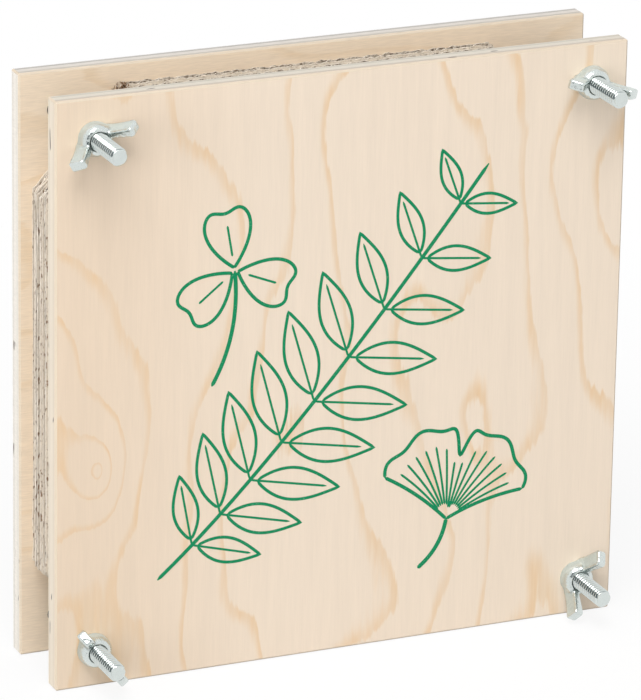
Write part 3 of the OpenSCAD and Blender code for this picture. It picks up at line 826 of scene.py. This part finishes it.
def fibrous_paper(name, pale, dark, fleck, cut, inner):
    """Matt paper: a cloudy tone, fibres and flecks of about a millimetre, pale cut edges and spotty shade in flutes."""
    material, tree, shader = new_material(name)
    place = add(tree, "TexCoord").outputs["Object"]
    clouds = add(tree, "TexNoise", {"Vector": place, "Scale": 1 / (9 * MM), "Detail": 4.0, "Roughness": 0.6}).outputs[0]
    fibres = add(tree, "VectorMath", {0: place, 1: FIBRE_GRID}, operation="DIVIDE").outputs[0]
    fibres = add(tree, "TexNoise", {"Vector": fibres, "Scale": 1.0, "Detail": 2.0}).outputs[0]
    spots = add(tree, "TexNoise", {"Vector": place, "Scale": 1 / (1.3 * MM), "Detail": 1.0}).outputs[0]
    cloudy = add(tree, "MapRange", {"Value": clouds, 1: 0.3, 2: 0.7}).outputs[0]
    tone = add(tree, "Mix", {0: cloudy, MIX_A: linear(pale), MIX_B: linear(dark)}, data_type="RGBA").outputs[MIX_OUT]
    spotted = add(tree, "MapRange", {"Value": spots, 1: 0.62, 2: 0.72}).outputs[0]
    tone = add(tree, "Mix", {0: spotted, MIX_A: tone, MIX_B: linear(fleck)}, data_type="RGBA").outputs[MIX_OUT]
    recess = add(tree, "Attribute", attribute_name="recess").outputs["Fac"]
    at_cut = add(tree, "MapRange", {"Value": recess, 1: AT_CUT, 2: AT_FACE, 3: 1.0, 4: 0.0}).outputs[0]
    in_flute = add(tree, "MapRange", {"Value": recess, 1: AT_FACE, 2: IN_FLUTE}).outputs[0]
    # Loose fluff catches the light here and there, so a flute's shade breaks up into spots
    bare = add(tree, "MapRange", {"Value": spots, 1: 0.42, 2: 0.62}).outputs[0]
    in_flute = add(tree, "Math", {0: in_flute, 1: bare}, operation="MULTIPLY").outputs[0]
    tone = add(tree, "Mix", {0: at_cut, MIX_A: tone, MIX_B: linear(cut)}, data_type="RGBA").outputs[MIX_OUT]
    tone = add(tree, "Mix", {0: in_flute, MIX_A: tone, MIX_B: linear(inner)}, data_type="RGBA").outputs[MIX_OUT]
    # Notches: noise that is dark where it peaks, at the edges only, and nearly all over the torn corner
    notch = add(tree, "VectorMath", {0: place, 1: NOTCH_GRID}, operation="DIVIDE").outputs[0]
    notch = add(tree, "TexNoise", {"Vector": notch, "Scale": 1.0, "Detail": 1.0}).outputs[0]
    torn = add(tree, "VectorMath", {0: place, 1: TORN_AT}, operation="DISTANCE").outputs["Value"]
    torn = add(tree, "MapRange", {"Value": torn, 1: TORN_FULL, 2: TORN_END, 3: 0.3, 4: 0.0}).outputs[0]
    notch = add(tree, "Math", {0: notch, 1: torn}, operation="ADD").outputs[0]
    notch = add(tree, "MapRange", {"Value": notch, 1: 0.59, 2: 0.70}).outputs[0]
    at_edge = add(tree, "MapRange", {"Value": recess, 1: AT_SIDE, 2: AT_FACE, 3: 1.0, 4: 0.0}).outputs[0]
    notch = add(tree, "Math", {0: notch, 1: at_edge}, operation="MULTIPLY").outputs[0]
    tone = add(tree, "Mix", {0: notch, MIX_A: tone, MIX_B: linear("#856B53")}, data_type="RGBA").outputs[MIX_OUT]
    tint = add(tree, "MapRange", {"Value": fibres, 1: 0.25, 2: 0.75, 3: 0.88, 4: 1.08}).outputs[0]
    tone = add(tree, "VectorMath", {0: tone, 1: tint}, operation="MULTIPLY").outputs[0]
    bump = add(tree, "Bump", {"Height": fibres, "Strength": 0.3, "Distance": 0.08 * MM})
    shader.inputs["Roughness"].default_value = 0.9
    shader.inputs["Specular IOR Level"].default_value = 0.25
    tree.links.new(tone, shader.inputs["Base Color"])
    tree.links.new(bump.outputs[0], shader.inputs["Normal"])
    return material


kraft = fibrous_paper("kraft_corrugated_board", "#DFD4C4", "#D0C3B0", "#BCAB97", "#F8F0E4", "#8A7B68")
blotting = fibrous_paper("blotting_paper", "#E8DECD", "#DED2BD", "#D2C4AC", "#F0E7D9", "#DED2BD")
print("materials:", kraft.name, blotting.name)

# %% [markdown]
# A sheet's three papers make one piece: nobody can pull them apart without tearing. The medium follows a cosine across
# the sheet, and its crests are glued into the liners. A cut never runs quite along the flutes, so they lean a little
# and each edge opens into one flute after another. Along the outline the liners are pinched a little towards the
# middle, because cutting crushes them, and the pinch varies along the edge. At the sides the medium's free end stands
# in the middle, where no crest holds it.

# %% One corrugated sheet
LINER_SINK, LINER_CRUSH, MEDIUM_CRUSH = 0.03 * MM, 0.7 * MM, 0.4
CRUSHED_W, FREE_W, FREE_SHARE = 5 * MM, 3 * MM, 0.55
# Slope of the flutes at most: each sheet leans by another part of it
FLUTE_LEAN = 0.02
# The medium ends a little inside the liners
MEDIUM_IN_X, MEDIUM_IN_Z = 0.5 * MM, 0.3 * MM
LINER_FRAY, PAPER_FRAY = 0.45 * MM, 0.4 * MM


def sheet_skin(index, low, high):
    """Points, quads and recess of one corrugated sheet in its box: rear liner, front liner and medium."""
    half_w, half_t, half_h = (high - low) / 2
    middle = (low + high) / 2
    start = -half_w + (2 * index * STAGGER_TURN / 360 % 1) * FLUTE_PITCH
    lean = FLUTE_LEAN * math.sin(2.4 * index + 1)
    swing = half_t - LINER_T - MEDIUM_T / 2 + GLUE_DEPTH

    def crest(x, z):
        return np.cos(2 * np.pi * (x + lean * z - start) / FLUTE_PITCH)

    def crushed(x, z, seed):
        edge = edge_share(x, z, half_w, half_h, CRUSHED_W)
        return edge * (0.5 + 0.5 * waves((x + z) / (6 * MM), seed) * waves((x - z) / (9 * MM), seed + 1)).clip(0, 1)

    def liner_y(side, seed):
        # The liner sinks by a few hundredths between crests, which shows as faint stripes on the sheet
        return lambda x, z: middle[1] + side * (half_t - LINER_T / 2 - LINER_SINK * (1 - side * crest(x, z))
                                                - LINER_CRUSH * crushed(x, z, seed))

    def medium_y(x, z):
        free = np.clip(1 - (half_w - np.abs(x)) / FREE_W, 0, 1)
        flattened = MEDIUM_CRUSH * crushed(x, z, 7 * index + 5) + FREE_SHARE * free
        return middle[1] + swing * (1 - flattened) * crest(x, z)

    step = FLUTE_PITCH / STATIONS_PER_FLUTE
    # Every ply has seeds of its own, so that no two edges are frayed or crushed alike
    plies = [ply_skin(half_w, half_h, liner_y(side, 7 * index + 3 + side), LINER_T, middle, 50 * index + side + 1,
                      LINER_FRAY, 2 * step, *((IN_FLUTE, AT_FACE)[::side])) for side in (1, -1)]
    plies.append(ply_skin(half_w - MEDIUM_IN_X, half_h - MEDIUM_IN_Z, medium_y, MEDIUM_T, middle, 50 * index + 20,
                          PAPER_FRAY, step, IN_FLUTE, IN_FLUTE))
    return joined(plies)


# %% [markdown]
# At one corner the rear sheet has been torn, and brown fibres stand out of it. Hair particles could do that, but two
# dozen strands are enough, and each is a thin tube along a bent path.

# %% Torn fibres
TORN_COUNT, TORN_T, TORN_SEED = 24, 0.6 * MM, 11
TORN_DOWN, TORN_DROOP = 6.5 * MM, 1 * MM


def torn_fibres(low, high):
    """Points, quads and recess of strands at a torn corner: each leaves the cut edge, leans over and thins out."""
    rng = np.random.default_rng(TORN_SEED)
    down = rng.uniform(0, TORN_DOWN, TORN_COUNT)
    start = np.stack([low[0] + CORNER_CUT - down, rng.uniform(low[1], high[1], TORN_COUNT), high[2] - down], axis=-1)
    lean = rng.uniform((-1.8, -1, 0), (1.2, 1, 1.6), (TORN_COUNT, 3)) * MM
    lean[:, 2] += 0.85 * down
    share = np.linspace(-0.2, 1, 7)[None, :, None]
    droop = rng.uniform(0, TORN_DROOP, (TORN_COUNT, 1, 1)) * share ** 2
    paths = start[:, None] + lean[:, None] * share - droop * np.array([0, 0, 1])
    along = np.gradient(paths, axis=1)
    aside = np.stack([-along[..., 2], 0 * along[..., 1], along[..., 0]], axis=-1)
    aside /= np.linalg.norm(aside, axis=-1, keepdims=True)
    deep = np.broadcast_to([0.0, 1.0, 0.0], aside.shape)
    ring = np.stack([aside, deep, -aside, -deep], axis=2) * (TORN_T / 2 * (1 - 0.7 * share ** 2))[:, :, None]
    quads = tube_quads(TORN_COUNT, share.size)
    return (paths[:, :, None] + ring).reshape(-1, 3), quads, np.full(len(quads), AT_CUT)


# %% [markdown]
# Now the stack is laid up from rear to front: seven corrugated sheets with a blotting paper between each two. A paper
# is a single flat ply, so the same function makes it. Each piece rides on its own body and takes its CAD node's place.

# %% The stack
BLOTTER_STEP, BLOTTER_SEED = 3 * MM, 900
LAYER_SHARP = 50
for index in range(SHEET_COUNT):
    node = "corrugated_sheet_%d" % (index + 1)
    low, high = (np.array(corner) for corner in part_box(node))
    points, quads, recess = sheet_skin(index, low, high)
    if index == 0:
        points, quads, recess = joined([(points, quads, recess), torn_fibres(low, high)])
    piece = new_piece("fluted_sheet_%d" % (index + 1), points, quads, kraft, node, "corrugated", sharp=LAYER_SHARP,
                      recess=recess)
    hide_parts(node)
print("each fluted sheet has", len(quads), "quads")
for index in range(SHEET_COUNT - 1):
    node = "blotter_%d" % (index + 1)
    low, high = (np.array(corner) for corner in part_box(node))
    middle, size = (low + high) / 2, high - low
    points, quads, recess = ply_skin(size[0] / 2, size[2] / 2, lambda x, z: np.full_like(x, middle[1]), size[1], middle,
                                     BLOTTER_SEED + index, PAPER_FRAY, BLOTTER_STEP, AT_FACE, AT_FACE)
    piece = new_piece("blotting_sheet_%d" % (index + 1), points, quads, blotting, node, "blotter", sharp=LAYER_SHARP,
                      recess=recess)
    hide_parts(node)
print("each blotting sheet has", len(quads), "quads")

# %% [markdown]
# The front board carries a line drawing in green screen ink, a film that lies a few hundredths of a millimetre proud of
# the wood. An image texture would do for a picture, but ribbons stay crisp at any distance. Each line is a path with a
# width and round ends. The drawing is a feathered leaf, a fan leaf and a clover leaf, all from short formulas.

# %% Ink lines
INK_SINK = 0.05 * MM
# A wider line takes more ink and stands higher, and neighbours differ a little, so that no two films share a plane
INK_RISE_PER_WIDTH, INK_RISE_STEP = 0.045, 0.003 * MM
# Widths of the lines in mm: ribs and veins, outlines and stalks
RIB_W, LEAFLET_W, LOBE_W, RIM_W = 1.0, 1.35, 1.5, 1.6
STALK_W, CLOVER_STALK_W, FAN_STALK_W = 1.7, 1.8, 1.9


def ink_lines(paths, width):
    """Thin closed ribbons along paths of shape (lines, stations, 2), in mm: x across the board, z up from its foot."""
    lines, stations = paths.shape[:2]
    along = np.gradient(paths, axis=1)
    along /= np.maximum(np.linalg.norm(along, axis=-1, keepdims=True), 1e-9)
    aside = np.stack([-along[..., 1], along[..., 0]], axis=-1)
    length = np.linalg.norm(np.diff(paths, axis=1), axis=-1)
    run = np.concatenate([np.zeros((lines, 1)), np.cumsum(length, axis=1)], axis=1)
    # Round ends: within half a width of an end, the ribbon is as wide as a circle is there
    room = np.minimum(run, run[:, -1:] - run) / (width / 2)
    half = width / 2 * np.sqrt(np.clip(1 - (1 - np.clip(room, 0, 1)) ** 2, 0.08, 1))
    sides = paths[:, :, None, :] + aside[:, :, None, :] * half[..., None, None] * np.array([1, 1, -1, -1])[:, None]
    rise = INK_RISE_PER_WIDTH * width * MM + INK_RISE_STEP * (np.arange(lines) % 3)
    y = front_low[1] + np.where([True, False, False, True], INK_SINK, -rise[:, None])
    y = np.broadcast_to(y[:, None, :], sides.shape[:3])
    points = np.stack([sides[..., 0] * MM, y, sides[..., 1] * MM], axis=-1)
    return points.reshape(-1, 3), tube_quads(lines, stations)


def placed(local, origin, heading):
    """Local drawing points (along, aside) turned to a heading and moved to an origin. Headings may be arrays."""
    c, s = np.cos(heading)[..., None], np.sin(heading)[..., None]
    a, b = local[..., 0], local[..., 1]
    return np.stack([a * c - b * s, a * s + b * c], axis=-1) + np.asarray(origin)[..., None, :]


def bend(start, control, end, count):
    """Quadratic curve: each point is the mean of the two ends and the control, weighted by its share t."""
    t = np.linspace(0, 1, count)[:, None]
    return (1 - t) ** 2 * np.array(start) + 2 * t * (1 - t) * np.array(control) + t ** 2 * np.array(end)


# %% [markdown]
# A feathered leaf has a bent stalk with pairs of leaflets. Each leaflet is a closed loop: its width is a sine of the
# way along it, so it comes to a point at both ends, and its midrib is a line that stops short of the tip.

# %% The feathered leaf
STALK = ((-84, 44), (-26, 92), (66, 212))
PAIRS, LEAFLET_TURN = 9, math.radians(58)
LEAFLET_L, LEAFLET_MORE = 22, 22
share = np.linspace(0.13, 0.93, PAIRS)[:, None]
stalk_start, stalk_control, stalk_end = (np.array(p, float) for p in STALK)
roots = (1 - share) ** 2 * stalk_start + 2 * share * (1 - share) * stalk_control + share ** 2 * stalk_end
heading = (1 - share) * (stalk_control - stalk_start) + share * (stalk_end - stalk_control)
heading = np.arctan2(heading[:, 1], heading[:, 0])
roots = np.concatenate([roots, roots])
headings = np.concatenate([heading + LEAFLET_TURN, heading - LEAFLET_TURN])
# The leaflets are longest a little above the middle of the stalk
lengths = np.tile(LEAFLET_L + LEAFLET_MORE * np.sin(np.pi * share[:, 0] ** 0.9), 2)
way = np.linspace(0, 2, 61)
there = 1 - np.abs(way - 1)
width = 0.17 * np.sin(np.pi * there ** 0.85) * np.sign(1 - way)
outline = np.stack([0.08 + 0.92 * there, width], axis=-1)[None] * lengths[:, None, None]
midrib = np.stack([np.linspace(0, 0.86, 24), np.zeros(24)], axis=-1)[None] * lengths[:, None, None]
feather = [ink_lines(placed(outline, roots, headings), LEAFLET_W), ink_lines(placed(midrib, roots, headings), RIB_W),
           ink_lines(bend(*STALK, 80)[None], STALK_W)]
print("feathered leaf with", 2 * PAIRS, "leaflets")

# %% [markdown]
# A fan leaf opens from one point: its rim is a radius that depends on the direction, with a notch in the middle and
# waves along it. Its veins run straight out and stop before the rim.

# %% The fan leaf
FAN_AT, FAN_R, FAN_OPEN, FAN_WAY = (50, 53), 42, math.radians(64), math.radians(78)
side = np.linspace(-1, 1, 161)
rim = FAN_R * (1 - 0.34 * np.exp(-(side / 0.07) ** 2) + 0.035 * np.cos(14 * side) - 0.12 * side ** 4)
direction = FAN_WAY + side * FAN_OPEN
rim_path = np.stack([rim * np.cos(direction), rim * np.sin(direction)], axis=-1) + np.array(FAN_AT)
fan_sides = np.stack([bend(FAN_AT, np.array(FAN_AT) + 0.45 * (end - np.array(FAN_AT)) + np.array([0, 3.5]), end, 40)
                      for end in rim_path[[0, -1]]])
vein_side = np.linspace(-0.86, 0.86, 14)[:, None]
vein_run = np.linspace(0.2, 1, 30)[None, :]
vein_r = FAN_R * vein_run * (0.82 - 0.24 * np.exp(-(vein_side / 0.16) ** 2) - 0.1 * vein_side ** 4)
vein_way = FAN_WAY + vein_side * FAN_OPEN * (0.86 + 0.14 * vein_run)
veins = np.stack([vein_r * np.cos(vein_way), vein_r * np.sin(vein_way)], axis=-1) + np.array(FAN_AT)
fan = [ink_lines(rim_path[None], RIM_W), ink_lines(fan_sides, RIM_W), ink_lines(veins, RIB_W),
       ink_lines(bend(FAN_AT, (48, 40), (37, 32), 40)[None], FAN_STALK_W)]
print("fan leaf with", len(veins), "veins")

# %% [markdown]
# A clover leaf has three leaflets, each widest beyond its middle and notched at the end, on a thin stalk.

# %% The clover leaf
CLOVER_AT, CLOVER_L = (-50, 178), 30
turns = np.linspace(0, 2 * np.pi, 81)
lobe = np.stack([0.5 - 0.5 * np.cos(turns) - 0.14 * np.exp(-((turns - np.pi) / 0.42) ** 2),
                 0.44 * np.sin(turns) * np.sin(turns / 2) ** 0.9], axis=-1)
clover_heading = np.radians([100, 218, -22])
clover_root = np.tile(np.array(CLOVER_AT, float), (3, 1))
lobe[:, 0] = 0.05 + 0.95 * lobe[:, 0]
lobe_rib = np.stack([np.linspace(0.22, 0.68, 24), np.zeros(24)], axis=-1)
clover = [ink_lines(placed(np.tile(lobe * CLOVER_L, (3, 1, 1)), clover_root, clover_heading), LOBE_W),
          ink_lines(placed(np.tile(lobe_rib * CLOVER_L, (3, 1, 1)), clover_root, clover_heading), RIB_W),
          ink_lines(bend(CLOVER_AT, (-47, 150), (-60, 128), 40)[None], CLOVER_STALK_W)]
print("clover leaf with", len(clover_heading), "leaflets")

# %% [markdown]
# Screen ink is pressed through a fine mesh. It is filled with chalk and dries matt, so that little shine lies over its
# green, and the specular level is low. Thin places let the wood shine through, which a noise paints paler.

# %% The ink and the whole print
ink, tree, shader = new_material("green_screen_ink")
place = add(tree, "TexCoord").outputs["Object"]
# The mesh's real threads are too fine to see, so its thin places are drawn 0.7 mm apart
thin = add(tree, "TexNoise", {"Vector": place, "Scale": 1 / (0.7 * MM), "Detail": 2.0}).outputs[0]
worn = add(tree, "MapRange", {"Value": thin, 1: 0.60, 2: 0.75}).outputs[0]
tone = add(tree, "Mix", {0: worn, MIX_A: linear("#148859"), MIX_B: linear("#5FA27C")}, data_type="RGBA")
tree.links.new(tone.outputs[MIX_OUT], shader.inputs["Base Color"])
shader.inputs["Roughness"].default_value = 0.7
shader.inputs["Specular IOR Level"].default_value = 0.15
points, quads = joined(feather + fan + clover)
new_piece("leaf_print", points, quads, ink, "front_board", "plywood")
print("print of", len(quads), "quads")
